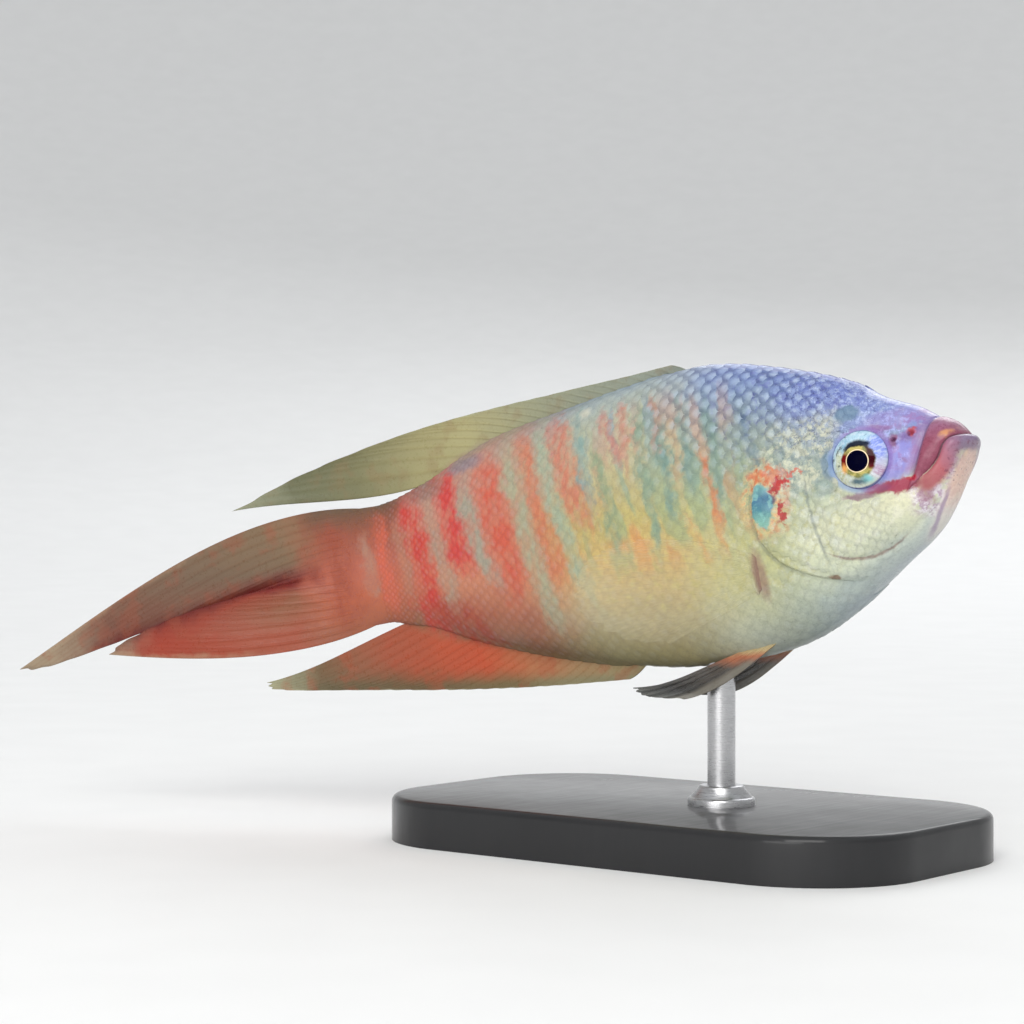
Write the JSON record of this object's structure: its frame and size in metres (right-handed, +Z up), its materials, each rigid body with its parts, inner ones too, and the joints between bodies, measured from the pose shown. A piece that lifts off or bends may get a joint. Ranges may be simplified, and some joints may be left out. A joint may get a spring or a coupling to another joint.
{
  "type": "paradise fish display model",
  "caption": "Life-size still model of a paradise fish with folded fins and a tail swung to one side, held over a flat display base by a short rod.",
  "frame": {"origin": "middle of the underside of the stand's base, on the floor", "axes": "+X the way the head looks, +Y the fish's left, +Z up"},
  "size_m": [0.0974, 0.031, 0.0419],
  "materials": {
    "head_skin": "wet skin of blue-violet over cream",
    "lip_skin": "wet maroon-pink lip",
    "gill_cover_skin": "wet scaled skin of cream with a teal spot",
    "eye": "clear glossy eye, silver ring and black pupil",
    "flank_skin": "wet scales, blue above, barred red and blue-grey",
    "tail_stalk_skin": "wet scales, orange-red",
    "back_fin": "thin olive fin skin with pale rays",
    "belly_fin": "thin orange to olive fin skin with pale edge",
    "tail_fin": "thin red-brown fin skin with pale tips",
    "clear_fin": "thin clear fin skin",
    "dark_fin": "thin smoky fin skin with red-orange root",
    "base_plastic": "polished black acrylic",
    "stand_steel": "brushed steel"
  },
  "bodies": {
    "root": {"head": "head_skin", "lower_jaw": "lip_skin", "gill_cover_right": "gill_cover_skin", "gill_cover_left": "gill_cover_skin", "eye_right": "eye", "eye_left": "eye", "trunk": "flank_skin", "tail_stalk": "tail_stalk_skin", "dorsal_fin": "back_fin", "anal_fin": "belly_fin", "tail_fin_upper": "tail_fin", "tail_fin_lower": "tail_fin", "pectoral_fin_right": "clear_fin", "pectoral_fin_left": "clear_fin", "pelvic_fin_right": "dark_fin", "pelvic_fin_left": "dark_fin", "stand_base": "base_plastic", "stand_collar": "stand_steel", "stand_rod": "stand_steel"}
  },
  "joints": []
}
